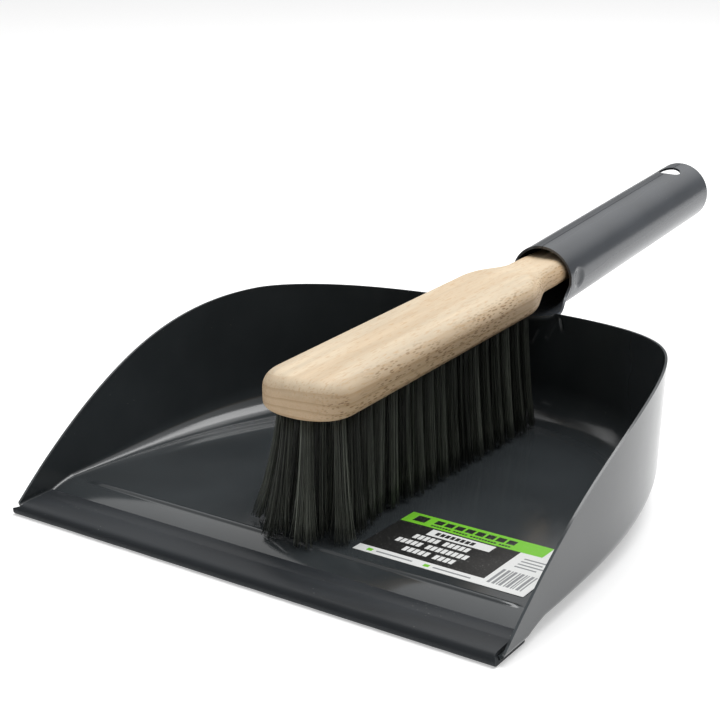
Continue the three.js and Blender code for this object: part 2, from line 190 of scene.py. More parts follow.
class Nodes:
    """Short ways to add nodes to a tree; place is the coordinate that its patterns follow."""

    def __init__(self, tree, coordinate):
        self.tree = tree
        self.place = self.add("ShaderNodeTexCoord").outputs[coordinate]

    def add(self, kind, **settings):
        node = self.tree.nodes.new(kind)
        for key, value in settings.items():
            setattr(node, key, value)
        return node

    def put(self, socket, value):
        """Links a socket to another's output, or sets its number or colour."""
        if isinstance(value, bpy.types.NodeSocket):
            self.tree.links.new(value, socket)
        else:
            socket.default_value = value

    def split(self, vector):
        """X, y and z of a vector."""
        node = self.add("ShaderNodeSeparateXYZ")
        self.put(node.inputs[0], vector)
        return node.outputs

    def stretch(self, scale):
        """The place, scaled by a different amount along each axis."""
        node = self.add("ShaderNodeMapping")
        self.put(node.inputs["Vector"], self.place)
        node.inputs["Scale"].default_value = scale
        return node.outputs["Vector"]

    def noise(self, scale, detail=3, place=None, rough=0.5):
        node = self.add("ShaderNodeTexNoise")
        self.put(node.inputs["Vector"], place or self.place)
        node.inputs["Scale"].default_value = scale
        node.inputs["Detail"].default_value = detail
        node.inputs["Roughness"].default_value = rough
        return node.outputs["Fac"]

    def dots(self, scale, place=None):
        """Distance to scattered points, in cells."""
        node = self.add("ShaderNodeTexVoronoi")
        self.put(node.inputs["Vector"], place or self.place)
        node.inputs["Scale"].default_value = scale
        return node.outputs["Distance"]

    def span(self, value, low, high, start=0.0, end=1.0):
        """Maps low..high to start..end, clamped."""
        node = self.add("ShaderNodeMapRange")
        self.put(node.inputs["Value"], value)
        node.inputs["From Min"].default_value = low
        node.inputs["From Max"].default_value = high
        node.inputs["To Min"].default_value = start
        node.inputs["To Max"].default_value = end
        return node.outputs["Result"]

    def math(self, operation, a, b=0.0):
        node = self.add("ShaderNodeMath", operation=operation)
        self.put(node.inputs[0], a)
        self.put(node.inputs[1], b)
        return node.outputs[0]

    def blend(self, share, a, b):
        """Mixes colour b into colour a by a share from 0 to 1."""
        node = self.add("ShaderNodeMix", data_type="RGBA")
        self.put(node.inputs["Factor"], share)
        self.put(node.inputs["A"], (*a, 1) if isinstance(a, tuple) else a)
        self.put(node.inputs["B"], (*b, 1) if isinstance(b, tuple) else b)
        return node.outputs["Result"]

    def bump(self, height, distance, strength=1.0, under=None):
        """A normal roughened by a height, over the normal given as under."""
        node = self.add("ShaderNodeBump")
        self.put(node.inputs["Height"], height)
        node.inputs["Distance"].default_value = distance
        node.inputs["Strength"].default_value = strength
        if under is not None:
            self.put(node.inputs["Normal"], under)
        return node.outputs["Normal"]


class Shader(Nodes):
    """A surface material, with the dust, wear and painted edge highlight that several finishes share."""

    def __init__(self, name, roughness=0.5, specular=0.5, ior=1.5):
        self.material = bpy.data.materials.new(name)
        self.material.use_nodes = True
        super().__init__(self.material.node_tree, "Object")
        self.surface = self.tree.nodes["Principled BSDF"]
        self.surface.inputs["Roughness"].default_value = roughness
        self.surface.inputs["Specular IOR Level"].default_value = specular
        self.surface.inputs["IOR"].default_value = ior

    def dusted(self, colour, speck, patch, share, tint):
        """Dust specks, sized in cells; patch is the scale and the span of the noise that picks them."""
        specks = self.span(self.dots(420), speck, speck / 2)
        scale, low, high = patch
        patches = self.span(self.noise(scale, 2), low, high)
        dust = self.math("MULTIPLY", specks, patches)
        return self.blend(self.math("MULTIPLY", dust, share), colour, tint)

    def edge_wear_and_highlight(self, colour, low, share, wear_highlight_colour):
        """Blends towards a paler colour on sharp outer edges: partly edge wear, partly a painted
        highlight along rims and edges.
        """
        sharp = self.add("ShaderNodeNewGeometry").outputs["Pointiness"]
        edges = self.span(sharp, low, 0.66)
        return self.blend(self.math("MULTIPLY", edges, share), colour, wear_highlight_colour)

    def finish(self, colour, roughness=None, normal=None):
        self.put(self.surface.inputs["Base Color"], colour)
        if roughness is not None:
            self.put(self.surface.inputs["Roughness"], roughness)
        if normal is not None:
            self.put(self.surface.inputs["Normal"], normal)
        return self.material


def scaled(colour, factor):
    return tuple(c * factor for c in colour)


# ---------- materials ----------

def enamel(name, base, gloss):
    """Stoved enamel on sheet steel: slight orange peel, edges paled partly by wear and partly as a
    painted highlight, and a little dust.
    """
    s = Shader(name, specular=0.5, ior=1.59)
    cloud = s.noise(22, 3)
    colour = s.blend(s.span(cloud, 0.35, 0.7), scaled(base, 0.88), scaled(base, 1.14))
    colour = s.dusted(colour, 0.08, (30, 0.6, 0.66), 0.5, (0.32, 0.32, 0.31))
    # Sharp edges paled: partly rubbed paint, partly a painted highlight along the rim.
    colour = s.edge_wear_and_highlight(colour, 0.56, 0.35, scaled(base, 3.2))
    rubbed = s.noise(1, 4, s.stretch((260, 40, 260)), 0.6)
    wear = s.math("ADD", cloud, s.math("MULTIPLY", rubbed, 0.6))
    rough = s.span(wear, 0.5, 1.1, gloss - 0.04, gloss + 0.05)
    peel = s.bump(s.noise(260, 2), 0.00003, 0.35)
    return s.finish(colour, rough, peel)


def rubber():
    """Moulded rubber: even satin, faint flow marks along the strip and dust in its pores."""
    s = Shader("lip_rubber", specular=0.22)
    base = (0.025, 0.0285, 0.0325)
    cloud = s.noise(1, 3, s.stretch((18, 120, 120)))
    colour = s.blend(s.span(cloud, 0.3, 0.75), scaled(base, 0.8), scaled(base, 1.25))
    colour = s.dusted(colour, 0.1, (45, 0.55, 0.62), 0.6, (0.3, 0.3, 0.28))
    # Sharp edges paled: partly wear, partly a painted highlight along the strip's edges.
    colour = s.edge_wear_and_highlight(colour, 0.55, 0.4, scaled(base, 2.2))
    normal = s.bump(s.noise(1500, 2), 0.00003, 0.5)
    normal = s.bump(cloud, 0.0002, 0.3, normal)
    return s.finish(colour, s.span(cloud, 0.3, 0.7, 0.4, 0.52), normal)


def growth_layers(s):
    """Late wood of a log whose heart lies below the block: near 1 at the end of each year's layer."""
    warp = s.noise(1, 2, s.stretch((26, 5, 26)))
    x, y, z = s.split(s.place)
    across = s.math("ADD", x, s.math("ADD", s.math("MULTIPLY", y, 0.05), 0.006))
    depth = s.math("ADD", z, s.math("ADD", s.math("MULTIPLY", y, -0.035), 0.008))
    squares = s.math("ADD", s.math("POWER", across, 2.0), s.math("POWER", depth, 2.0))
    radius = s.math("ADD", s.math("SQRT", squares), s.math("MULTIPLY", warp, 0.006))
    layer = s.math("FRACT", s.math("DIVIDE", radius, 0.0034))
    return s.math("MULTIPLY", s.span(layer, 0.6, 0.94), s.span(layer, 1.0, 0.95))


def ray_flecks(s, facing):
    """Short dark flecks, in groups, on the faces that look sideways."""
    fleck = s.span(s.dots(1, s.stretch((900, 260, 1300))), 0.42, 0.26)
    chosen = s.span(s.noise(1, 2, s.stretch((60, 30, 110))), 0.34, 0.5)
    flank = s.span(s.math("ABSOLUTE", facing["X"]), 0.35, 0.9, 0.0, 0.75)
    return s.math("MULTIPLY", fleck, s.math("MULTIPLY", chosen, flank))


def beech():
    """Steamed beech, flat sawn, with painted shade that makes the sides warmer and darker, and darker
    towards the handle.
    """
    s = Shader("beech", specular=0.35)
    pale, warm, dark = (0.74, 0.61, 0.44), (0.57, 0.36, 0.18), (0.24, 0.12, 0.045)
    facing = s.split(s.add("ShaderNodeNewGeometry").outputs["Normal"])
    side = s.span(facing["Z"], 0.9, 0.15)
    late = growth_layers(s)
    fleck = ray_flecks(s, facing)
    streak = s.noise(1, 4, s.stretch((150, 9, 150)), 0.6)
    pores = s.span(s.noise(1, 2, s.stretch((1500, 190, 1500))), 0.55, 0.67)
    towards_handle = s.span(s.split(s.place)["Y"], 0.005, 0.045, 0, 0.3)
    colour = s.blend(s.span(streak, 0.35, 0.65), scaled(pale, 0.84), scaled(pale, 1.03))
    colour = s.blend(s.math("MULTIPLY", late, 0.24), colour, warm)
    # Painted shade: the side faces are blended halfway to the warm tone.
    colour = s.blend(s.math("MULTIPLY", side, 0.5), colour, warm)
    colour = s.blend(s.math("MULTIPLY", s.math("MULTIPLY", side, late), 0.26), colour, dark)
    colour = s.blend(fleck, colour, dark)
    colour = s.blend(s.math("MULTIPLY", pores, 0.5), colour, warm)
    colour = s.blend(towards_handle, colour, warm)
    grain = s.noise(1, 3, s.stretch((1500, 60, 1500)))
    normal = s.bump(grain, 0.00006, 0.5)
    normal = s.bump(s.math("ADD", fleck, pores), -0.00006, 0.4, normal)
    return s.finish(colour, s.span(grain, 0.3, 0.7, 0.5, 0.66), normal)


def filament():
    """Black synthetic filament; its tone varies from strand to strand, and painted shade darkens it
    towards the roots.
    """
    s = Shader("bristle", specular=0.5)
    tone = s.add("ShaderNodeAttribute", attribute_name="tone").outputs["Fac"]
    colour = s.blend(tone, (0.014, 0.016, 0.014), (0.29, 0.315, 0.26))
    streak = s.noise(1, 2, s.stretch((900, 900, 120)))
    colour = s.blend(s.span(streak, 0.4, 0.7, 0, 0.35), colour, (0.03, 0.031, 0.027))
    normal = s.bump(s.noise(1, 2, s.stretch((5000, 5000, 500))), 0.00002, 0.4)
    return s.finish(colour, s.span(streak, 0.3, 0.7, 0.34, 0.48), normal)


def print_ink(name, ink):
    """Ink on gloss paper: a faint screen and a few rubbed spots."""
    s = Shader(name, specular=0.5)
    rubbed = s.span(s.noise(1400, 2), 0.62, 0.74)
    screen = s.span(s.noise(4200, 1), 0.3, 0.7)
    colour = s.blend(screen, scaled(ink, 0.93), scaled(ink, 1.05))
    colour = s.blend(s.math("MULTIPLY", rubbed, 0.25), colour, (0.6, 0.6, 0.58))
    normal = s.bump(s.noise(500, 3), 0.00003, 0.5)
    return s.finish(colour, s.span(rubbed, 0, 1, 0.3, 0.42), normal)


PAN_PAINT = enamel("pan_enamel", (0.037, 0.0425, 0.046), 0.13)
TUBE_PAINT = enamel("tube_enamel", (0.053, 0.059, 0.068), 0.19)
LIP_RUBBER = rubber()
BEECH = beech()
BRISTLE = filament()

# ---------- mesh helpers ----------


def grid_faces(rows, cols, start=0):
    """Quads of a rows x cols grid of points that begin at start."""
    i, j = np.meshgrid(np.arange(rows - 1), np.arange(cols - 1), indexing="ij")
    a = (start + i * cols + j).ravel()
    return np.stack([a, a + 1, a + cols + 1, a + cols], 1).tolist()


def new_mesh(name, points, faces, materials):
    """A mesh in the frame's metres, from points in millimetres."""
    mesh = bpy.data.meshes.new(name)
    places = np.asarray(points, float) * MM + (0, LIP_FRONT, 0)
    mesh.from_pydata(places.tolist(), [], faces)
    for material in materials:
        mesh.materials.append(material)
    return mesh


def place_mesh(mesh, smooth_faces, body, replaced):
    """Puts a mesh in the scene as a piece that rides on a body in place of CAD nodes."""
    mesh.polygons.foreach_set("use_smooth", [smooth_faces] * len(mesh.polygons))
    piece = bpy.data.objects.new(mesh.name, mesh)
    bpy.context.collection.objects.link(piece)
    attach(piece, body)
    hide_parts(*replaced)
    return piece


def make_piece(name, points, faces, materials, body, replaced, smooth_faces=True):
    """A piece whose shared points are welded."""
    mesh = new_mesh(name, points, faces, materials)
    work = bmesh.new()
    work.from_mesh(mesh)
    bmesh.ops.remove_doubles(work, verts=work.verts, dist=2e-6)
    bmesh.ops.dissolve_degenerate(work, edges=work.edges, dist=1e-6)
    bmesh.ops.recalc_face_normals(work, faces=work.faces)
    work.to_mesh(mesh)
    work.free()
    return place_mesh(mesh, smooth_faces, body, replaced)


def thicken(piece, thickness, offset=0, even=False):
    """Gives a one-layer sheet its gauge, in millimetres."""
    solid = piece.modifiers.new("gauge", "SOLIDIFY")
    solid.thickness = thickness * MM
    solid.offset = offset
    solid.use_even_offset = even


def soften(piece, width, segments=2, angle=50):
    """Rounds the edges sharper than an angle in degrees; width in millimetres."""
    bevel = piece.modifiers.new("soft_edges", "BEVEL")
    bevel.width = width * MM
    bevel.segments = segments
    bevel.limit_method = "ANGLE"
    bevel.angle_limit = math.radians(angle)
    bevel.harden_normals = True


# ---------- tray ----------

def back_outline(t):
    """Point and outward normal of the tray's outline at the floor, right half."""
    power = 2 / BACK_SQUARENESS
    x = HALF_WIDTH * max(math.cos(t), 0) ** power
    y = BACK_DEPTH * math.sin(t) ** power
    normal = np.array([
        (x / HALF_WIDTH) ** (BACK_SQUARENESS - 1) / HALF_WIDTH,
        (y / BACK_DEPTH) ** (BACK_SQUARENESS - 1) / BACK_DEPTH,
    ])
    return np.array([x, SIDE_END + y]), normal / np.linalg.norm(normal)


def rim_dip(x):
    """The rim sags where the tongue bends over it."""
    return TONGUE_SAG * max(0.0, 1 - (x / TONGUE_HALF) ** 2)


def rim_height(x, y):
    """Height of the rim: low at the lip, highest at the sides, lower again at the back."""
    if y < RIM_PEAK_Y:
        t = (RIM_PEAK_Y - y) / (RIM_PEAK_Y - FRONT_Y)
        return RIM_PEAK - (RIM_PEAK - RIM_FRONT) * t ** RIM_POWERS[0]
    t = (y - RIM_PEAK_Y) / (SIDE_END + BACK_DEPTH - RIM_PEAK_Y)
    return RIM_PEAK - (RIM_PEAK - RIM_BACK) * min(t, 1) ** RIM_POWERS[1] - rim_dip(x)


def floor_lift(x, y):
    """Height of the floor's underside: an even slope, the ramp in front of it and the bead."""
    fall = min(max((y - BEAD_Y) / (REST_Y - BEAD_Y), 0), 1)
    down = BEAD_Y - max(RAMP_FOOT, min(y, BEAD_Y))
    ramp = RAMP_SLOPE * down + RAMP_CURVE / 2 * down ** 2
    across = max(0.0, 1 - abs(y - BEAD_Y) / BEAD_HALF)
    along = min(max((BEAD_END - abs(x)) / BEAD_TAPER, 0), 1)
    return FLOOR_RISE * (1 - fall) - ramp + BEAD_RISE * float(smooth(across)) * along


def draw_marks(share, y, side):
    """Shallow ripples that deep drawing leaves in the floor; share is 1 at the foot of the fillet."""
    fade = smooth((y - 60) / 50) * smooth((215 - y) / 40)
    wave = math.sin((share - 0.8) * 75 + 0.6 * math.sin(y / 19 + side))
    return DRAW_MARK * fade * wave * float(smooth((share - 0.78) / 0.1))


def crease(x, z):
    """How far the short creases that joining the trough leaves push the back wall out."""
    depth = 0.0
    for x0, z0, x1, z1 in CREASES:
        length = math.hypot(x1 - x0, z1 - z0)
        along = ((x - x0) * (x1 - x0) + (z - z0) * (z1 - z0)) / length
        aside = abs((x - x0) * (z1 - z0) - (z - z0) * (x1 - x0)) / length
        end = max(-along, along - length, 0.0)
        depth += CREASE_DEPTH * float(smooth(1 - math.hypot(aside, end) / CREASE_HALF))
    return depth


FLOOR_SHARES = [*np.linspace(0, 0.9, 19), *np.linspace(0.92, 1, 6)]
FILLET_STEPS = 16
WALL_SHARES = [
    *np.linspace(0, 1 - RIM_CURL, 40)[1:],
    *1 - RIM_CURL * np.linspace(1, 0, 5)[1:] ** 2,
]


def floor_points(foot, anchor_y, y, side):
    """Middle of the sheet from the centre line out to the foot of the fillet."""
    row = []
    for share in FLOOR_SHARES:
        px, py = foot[0] * share, lerp(anchor_y, foot[1], share)
        row.append((px, py, floor_lift(px, py) + SHEET / 2 + draw_marks(share, y, side)))
    return row


def fillet_points(outline, normal, lift, radius, turn):
    """Middle of the sheet round the fillet between floor and wall."""
    inner = radius - SHEET / 2
    row = []
    for angle in np.linspace(0, turn, FILLET_STEPS + 1)[1:]:
        reach = outline - normal * (radius - inner * math.sin(angle))
        row.append((*reach, lift + radius - inner * math.cos(angle)))
    return row


def wall_points(outline, normal, base, wall):
    """Middle of the sheet up the wall, its rim turned out where it lies over the trough."""
    x, y = outline
    behind = y > RIM_PEAK_Y
    flare = float(smooth((TONGUE_HALF - abs(x)) / 5)) if behind else 0.0
    row = []
    for share in WALL_SHARES:
        curl = min(max((share - 1 + RIM_CURL) / RIM_CURL, 0.0), 1.0)
        out = WALL_DRAFT * wall * share - SHEET / 2
        out += RIM_FLARE * flare * (1 - math.sqrt(1 - curl ** 2))
        height = base + wall * share - flare * SHEET / 2 * curl
        if behind:
            out += crease(x, height)
        row.append((*(outline + normal * out), height))
    return row


def tray_row(outline, normal, anchor_y, side):
    """Middle of the sheet from the centre of the floor up to the rim."""
    x, y = outline
    rim = rim_height(x, y)
    lift = floor_lift(HALF_WIDTH, y)
    growth = float(smooth((y - LIP_DEPTH) / FILLET_GROWTH))
    radius = lerp(FILLET_FRONT, FILLET_BACK, growth)
    turn = math.acos(min(max(1 - (rim - lift) / radius, 0), 1))
    wall = rim - lift - radius
    row = floor_points(outline - normal * radius, anchor_y, y, side)
    row += fillet_points(outline, normal, lift, radius, turn)
    if wall > 0:
        return row + wall_points(outline, normal, lift + radius, wall)
    return row + [row[-1]] * len(WALL_SHARES)


def tray_stations():
    """Outline points, their outward normals and where their rows start on the centre line."""
    beads = np.linspace(BEAD_Y - BEAD_HALF, BEAD_Y + BEAD_HALF, 9)
    ramp = np.linspace(FRONT_Y, BEAD_Y - BEAD_HALF - 0.5, 30)
    floor = np.linspace(BEAD_Y + BEAD_HALF + 0.8, SIDE_END - 2, 15)
    fronts = [*ramp, *beads, *floor]
    side = np.array([1.0, 0.0])
    stations = [(np.array([HALF_WIDTH, y]), side, y) for y in fronts]
    for t in [*np.linspace(0, 1.4, 88), *np.linspace(1.4, math.pi / 2, 50)[1:]]:
        point, normal = back_outline(t)
        stations.append((point, normal, SIDE_END + ROW_SPREAD * math.sin(t)))
    return stations


def make_tray():
    """Both halves of the pressing, each a fan of rows from the centre line to the rim."""
    points = []
    faces = []
    for side in (1, -1):
        rows = [tray_row(*station, side) for station in tray_stations()]
        faces += grid_faces(len(rows), len(rows[0]), len(points))
        points += [(side * x, y, z) for row in rows for x, y, z in row]
    tray = make_piece("pan_sheet", points, faces, [PAN_PAINT], "pan", ["pan_body"])
    thicken(tray, SHEET, even=True)
    soften(tray, 0.3)


make_tray()

# ---------- rubber lip ----------


def lip_profile():
    """Side view (y, z) of the U-strip: sole, slot, top with its groove, and rounded nose."""
    sheet_low = floor_lift(0, RAMP_FOOT)
    slot_low = sheet_low - 0.3
    slot_high = sheet_low + SHEET + 0.3
    sole = [(1.2, 0), (6, 0), (LIP_DEPTH - 0.4, 0), (LIP_DEPTH, 0.4)]
    slot = [
        (LIP_DEPTH, slot_low),
        (FRONT_Y - 0.3, slot_low),
        (FRONT_Y - 0.3, slot_high),
        (LIP_DEPTH - 1, slot_high),
    ]
    top = [
        (LIP_DEPTH - 1, slot_high + 1.1),
        (LIP_DEPTH - 1.5, slot_high + 1.5),
        (13.2, slot_high + 1.42),
        (12.6, slot_high + 1.22),
        (12, slot_high + 1.40),
        (3.5, slot_high + 1.2),
    ]
    nose = [
        (2.1, slot_high + 0.9),
        (1.0, slot_high + 0.25),
        (0.3, 2.3),
        (0, 1.4),
        (0.15, 0.7),
        (0.55, 0.2),
    ]
    return sole + slot + top + nose


def make_lip():
    """The strip, its nose slightly uneven; at both ends its sole and nose reach further than its top."""
    profile = lip_profile()
    rng = random.Random(4)
    across = np.linspace(-LIP_HALF, LIP_HALF, 60)
    sway = [rng.uniform(-0.12, 0.12) for _ in across]
    points = []
    for x, shift in zip(across, sway):
        at_end = abs(x) == LIP_HALF
        spill = LIP_SPILL[1] if x > 0 else -LIP_SPILL[0]
        for y, z in profile:
            loose = max(0.0, 1 - y / 5)
            under = smooth((3.6 - z) / 0.8) if at_end else 0.0
            points.append((x + spill * under, y + max(0, shift * loose), z))
    count = len(profile)
    last = (len(across) - 1) * count
    faces = []
    for start in range(0, last, count):
        for j in range(count):
            k = (j + 1) % count
            faces.append([start + j, start + k, start + count + k, start + count + j])
    faces.append(list(range(count)))
    faces.append(list(range(last, last + count)))
    lip = make_piece("lip_strip", points, faces, [LIP_RUBBER], "pan", ["rubber_lip"])
    soften(lip, 0.25, 2, 40)


make_lip()

# ---------- handle tube, trough and tongue ----------

TUBE_AXIS = np.array([0, math.cos(TUBE_TILT), math.sin(TUBE_TILT)])
TUBE_UP = np.array([0, -math.sin(TUBE_TILT), math.cos(TUBE_TILT)])
TUBE_MID = TUBE_R - TUBE_WALL / 2
MOUTH = np.array([0, MOUTH_Y, MOUTH_Z])


def tube_point(s, phi, radius):
    """s behind the mouth, phi from the top."""
    side = np.array([radius * math.sin(phi), 0, 0])
    return MOUTH + TUBE_AXIS * s + TUBE_UP * (radius * math.cos(phi)) + side


def dimple(s, phi):
    """Depth of the two grip dimples, one on each side of the mouth."""
    around = min(phi, 2 * math.pi - phi) - math.pi / 2
    reach = math.hypot(s - DIMPLE_S, around * TUBE_R) / DIMPLE_R
    return DIMPLE_DEPTH * (1 - reach ** 3) if reach < 1 else 0.0


def wall_y(x, z):
    """Outer face of the tray's back wall."""
    t = min(abs(x) / HALF_WIDTH, 1) ** BACK_SQUARENESS
    lean = WALL_DRAFT * (z - FILLET_BACK)
    return SIDE_END + BACK_DEPTH * (1 - t) ** (1 / BACK_SQUARENESS) + lean


def trough_point(stage, w):
    """Middle of the sheet forward of the mouth: stage 0 to 1 is the trough, 1 to 2 its bend over
    the wall and 2 to 3 the tongue that lies on the wall. w runs across from -1 to 1."""
    front_x = TONGUE_HALF * w
    front_z = RIM_BACK - TUBE_WALL / 2 - rim_dip(front_x)
    clear = TONGUE_CLEAR + TUBE_WALL / 2
    if stage <= 1:
        widen = 1 - math.sqrt(max(0.0, 1 - max(0.0, 1 - stage / WAIST_STAGE) ** 2))
        edge = lerp(TROUGH_WAIST, TROUGH_EDGE, widen)
        arc = tube_point(0, math.pi - w * edge, TUBE_MID)
        share = float(smooth(stage))
        front_y = wall_y(front_x, front_z) + clear + TONGUE_BEND
        return np.array([
            lerp(arc[0], front_x, share),
            lerp(arc[1], front_y, stage),
            lerp(arc[2], front_z, share),
        ])
    if stage <= 2:
        turn = (stage - 1) * math.pi / 2
        low = front_z - TONGUE_BEND
        back = clear + TONGUE_BEND * (1 - math.sin(turn))
        return np.array([front_x, wall_y(front_x, low) + back, low + TONGUE_BEND * math.cos(turn)])
    share = stage - 2
    reach = lerp(1, TONGUE_TAPER, share)
    low = lerp(front_z - TONGUE_BEND, TONGUE_LOW + TONGUE_CORNER * w ** 4, share)
    return np.array([front_x * reach, wall_y(front_x * reach, low) + clear, low])


def make_tube():
    """One sheet: a tube with an open seam on top, whose lower part runs on as trough and tongue."""
    seam = SEAM_HALF / TUBE_R
    around_low = np.linspace(math.pi - TROUGH_EDGE, math.pi + TROUGH_EDGE, 61)
    upper = np.linspace(seam, math.pi - TROUGH_EDGE, 25)
    around = [*upper[:-1], *around_low, *(2 * math.pi - upper[:-1][::-1])]
    along = [*np.linspace(0, 16, 25), *np.linspace(20, TUBE_LENGTH, 60)]
    points = [tube_point(s, phi, TUBE_MID - dimple(s, phi)) for s in along for phi in around]
    faces = grid_faces(len(along), len(around))
    stages = [*np.linspace(0, 1, 25), *np.linspace(1, 2, 7)[1:], *np.linspace(2, 3, 16)[1:]]
    start = len(points)
    for stage in stages:
        for phi in around_low:
            w = (math.pi - phi) / TROUGH_EDGE
            points.append(trough_point(stage, w) if stage else tube_point(0, phi, TUBE_MID))
    faces += grid_faces(len(stages), len(around_low), start)
    tube = make_piece("tube_skin", points, faces, [TUBE_PAINT], "pan", ["handle_tube"])
    thicken(tube, TUBE_WALL)
    cut_hole(tube)
    soften(tube, 0.3)


def cut_hole(tube):
    """The hanging hole, through the top of the tube only."""
    radius = HOLE_R * MM
    work = bmesh.new()
    bmesh.ops.create_cone(
        work,
        cap_ends=True,
        segments=64,
        radius1=radius,
        radius2=radius,
        depth=CUT_DEPTH * MM,
    )
    mesh = bpy.data.meshes.new("hole_cutter")
    work.to_mesh(mesh)
    work.free()
    cutter = bpy.data.objects.new("hole_cutter", mesh)
    bpy.context.collection.objects.link(cutter)
    centre = tube_point(HOLE_S, 0, TUBE_R)
    cutter.location = Vector(centre * MM) + Vector((0, LIP_FRONT, 0))
    cutter.rotation_euler = (TUBE_TILT, 0, 0)
    cut = tube.modifiers.new("hanging_hole", "BOOLEAN")
    cut.object = cutter
    cut.solver = "EXACT"
    bpy.context.view_layer.update()
    with bpy.context.temp_override(object=tube, active_object=tube):
        bpy.ops.object.modifier_apply(modifier="gauge")
        bpy.ops.object.modifier_apply(modifier="hanging_hole")
    bpy.data.objects.remove(cutter)


make_tube()

# ---------- price label ----------

GREEN, BLACK, WHITE, GREY = range(4)
INKS = [
    print_ink("ink_green", (0.19, 0.58, 0.03)),
    print_ink("ink_black", (0.012, 0.012, 0.012)),
    print_ink("ink_white", (0.80, 0.81, 0.80)),
    print_ink("ink_grey", (0.25, 0.26, 0.27)),
]


def word_row(ink, x, y, height, width, words):
    """Plain blocks standing in for printed words; words gives the blocks in each."""
    row = []
    for count in words:
        for _ in range(count):
            row.append((ink, x, y, x + 0.78 * width, y + height))
            x += width
        x += 0.8 * width
    return row


def label_blocks():
    """Printed areas (ink, x0, y0, x1, y1) in millimetres, later ones over earlier ones."""
    width, depth = LABEL_SIZE
    blocks = [(WHITE, 0, 0, width, depth), (BLACK, 0, 5.5, 54, 34), (GREEN, 0, 34, 63, depth)]
    blocks += [(BLACK, 4, 36.5, 9.5, 42)]
    blocks += word_row(BLACK, 13, 38, 3.8, 4.6, (8,))
    blocks += word_row(BLACK, 13, 35.4, 1.2, 1.3, (7, 5, 9, 4))
    blocks += [(WHITE, 16, 27, 44, 33)]
    blocks += word_row(BLACK, 19, 28.5, 3.0, 2.2, (8,))
    blocks += word_row(WHITE, 13, 21.6, 4.0, 2.3, (5, 5))
    blocks += word_row(WHITE, 9, 15.4, 4.0, 2.3, (5, 8))
    blocks += word_row(WHITE, 16, 9.2, 4.0, 2.3, (5, 4))
    for x in (5, 30):
        blocks += [(GREEN, x, 1.6, x + 2.4, 3.8), (GREY, x + 4, 2.2, x + 20, 3.2)]
    rng = random.Random(11)
    x = 56
    while x < width - 2:
        bar = rng.choice((0.4, 0.6, 0.9, 1.2))
        blocks.append((GREY, x, 3.5, min(x + bar, width - 1), 17))
        x += bar + rng.choice((0.4, 0.6, 0.8))
    for row in range(4):
        blocks.append((GREY, 58, 21 + 2.6 * row, 67 + row % 2 * 2, 22 + 2.6 * row))
    return blocks


def grid_lines(edges, size, count):
    """Sorted places of all printed edges, with an even spread between them."""
    return sorted({round(v, 3) for v in edges} | set(np.linspace(0, size, count).round(3)))


def make_label():
    """Paper that lies on the floor, slightly wavy, with one corner lifting."""
    blocks = label_blocks()
    width, depth = LABEL_SIZE
    xs = grid_lines([v for block in blocks for v in (block[1], block[3])], width, 38)
    ys = grid_lines([v for block in blocks for v in (block[2], block[4])], depth, 23)
    x0, y0 = LABEL_CORNER
    points = []
    for y in ys:
        bed = floor_lift(x0, y0 + y) + SHEET + 0.2
        for x in xs:
            ripple = 0.12 * math.sin(x / 9) * math.sin(y / 7) ** 2
            curl = 0.5 * float(smooth((x + y - 107) / 12))
            points.append((x0 + x, y0 + y, bed + ripple + curl))
    faces = grid_faces(len(ys), len(xs))
    label = make_piece("sticker", points, faces, INKS, "pan", ["price_label"], False)
    for face in label.data.polygons:
        centre = face.center / MM
        u, v = centre.x - x0, centre.y - LIP_FRONT / MM - y0
        for ink, a, b, c, d in blocks:
            if a <= u <= c and b <= v <= d:
                face.material_index = ink
    thicken(label, PAPER, offset=-1)


make_label()

# ---------- brush block ----------


def rounding(count):
    """Angles of a quarter turn."""
    return np.linspace(0, math.pi / 2, count)


def block_outline():
    """Right half of the block's plan: round nose, straight head, shoulder, slim handle."""
    nose_power = 2 / 2.3
    end_power = 2 / 2.2
    outline = []
    for t in rounding(30):
        x = BLOCK_HALF * math.sin(t) ** nose_power
        outline.append((x, BLOCK_NOSE * (1 - max(math.cos(t), 0) ** nose_power)))
    outline += [(BLOCK_HALF, y) for y in np.linspace(BLOCK_NOSE + 5, SHOULDER[0] - 5, 27)]
    for y in np.linspace(*SHOULDER, 25):
        share = smooth((y - SHOULDER[0]) / (SHOULDER[1] - SHOULDER[0]))
        outline.append((lerp(BLOCK_HALF, NECK_HALF, share), y))
    for t in np.linspace(0, 1, 14):
        y = lerp(SHOULDER[1] + 4, BLOCK_LENGTH - HANDLE_END, t)
        outline.append((lerp(NECK_HALF, HANDLE_HALF, t), y))
    for t in rounding(16)[1:]:
        x = HANDLE_HALF * max(math.cos(t), 0) ** end_power
        outline.append((x, BLOCK_LENGTH - HANDLE_END * (1 - math.sin(t) ** end_power)))
    return np.array(outline)


def edge_profile(handle):
    """Inset and height up the block's side; handle is 0 on the head and 1 on the handle."""
    slim = handle * (BLOCK_THICK - HANDLE_THICK)
    low_z, low_r = 0.2 * slim, lerp(EDGE_LOW, HANDLE_EDGE, handle)
    high_z, high_r = BLOCK_THICK - 0.8 * slim, lerp(EDGE_HIGH, HANDLE_EDGE, handle)
    profile = [(low_r * (1 - math.sin(t)), low_z + low_r * (1 - math.cos(t))) for t in rounding(7)]
    profile += [(0, z) for z in np.linspace(low_z + low_r, high_z - high_r, 6)[1:-1]]
    for t in rounding(13):
        profile.append((high_r * (1 - math.cos(t)), high_z - high_r * (1 - math.sin(t))))
    return profile


